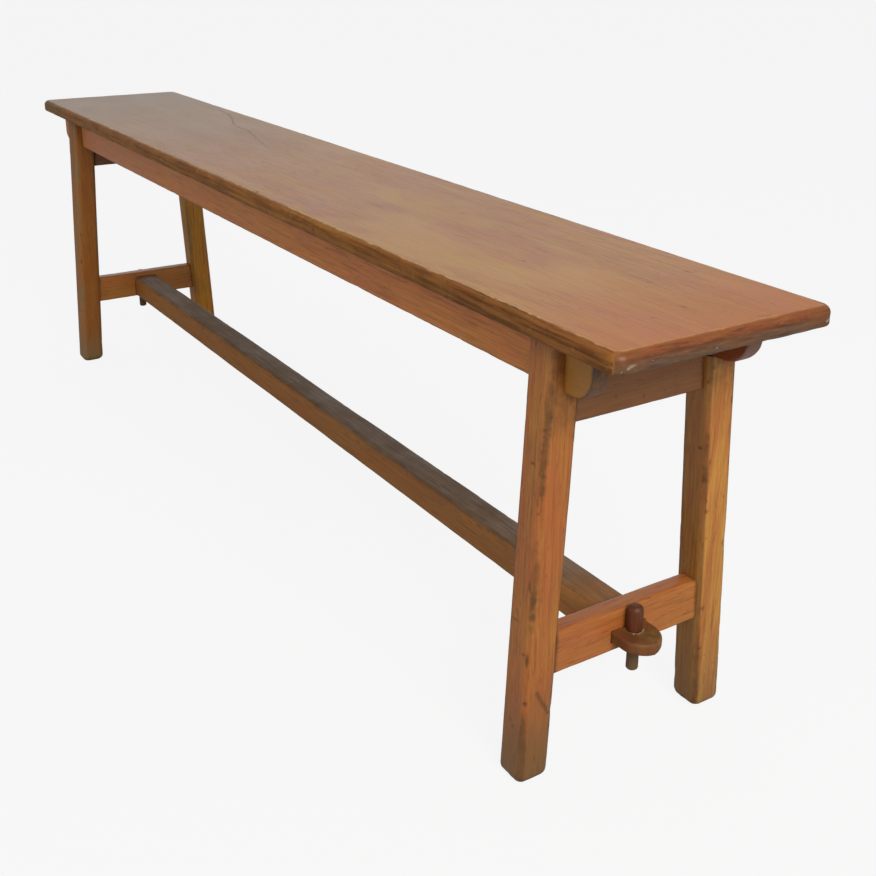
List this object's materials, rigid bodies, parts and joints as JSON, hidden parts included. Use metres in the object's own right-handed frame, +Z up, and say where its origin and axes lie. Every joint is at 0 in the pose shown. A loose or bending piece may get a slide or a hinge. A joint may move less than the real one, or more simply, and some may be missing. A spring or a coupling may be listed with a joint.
{
  "type": "trestle bench",
  "caption": "Long narrow knock-down wooden bench: plank seat on two aprons, splayed trestle legs, and a pegged through-tenon stretcher.",
  "frame": {"origin": "floor level, centre of the bench in plan", "axes": "+X along the length towards the right trestle, -Y the front, +Z up"},
  "size_m": [1.546, 0.2536, 0.45],
  "materials": {
    "seat_wood": "worn orange-brown varnish, satin on top, darker and chipped along the rounded edge",
    "frame_wood": "worn honey-orange varnish, semi-gloss, dirt in the dents and at the feet",
    "stretcher_wood": "dull grey-brown top from boot wear, brown varnish on the sides",
    "peg_wood": "dark red-brown, polished by handling",
    "dowel_wood": "bare, glued"
  },
  "bodies": {
    "base": {"stretcher": "stretcher_wood", "left_front_leg": "frame_wood", "left_rear_leg": "frame_wood", "left_lower_rail": "frame_wood", "left_upper_rail": "frame_wood", "right_front_leg": "frame_wood", "right_rear_leg": "frame_wood", "right_lower_rail": "frame_wood", "right_upper_rail": "frame_wood"},
    "seat": {"seat_plank": "seat_wood", "front_apron": "frame_wood", "rear_apron": "frame_wood", "front_apron_dowels": "dowel_wood", "rear_apron_dowels": "dowel_wood"},
    "left_peg": {"left_peg": "peg_wood"},
    "right_peg": {"right_peg": "peg_wood"}
  },
  "joints": [
    {"name": "seat_lift", "type": "slide", "parent": "base", "child": "seat", "axis": [0, 0, 1], "range_m": [0, 0.12]},
    {"name": "left_peg_lift", "type": "slide", "parent": "base", "child": "left_peg", "axis": [0, 0, 1], "range_m": [0, 0.055]},
    {"name": "right_peg_lift", "type": "slide", "parent": "base", "child": "right_peg", "axis": [0, 0, 1], "range_m": [0, 0.055]}
  ]
}
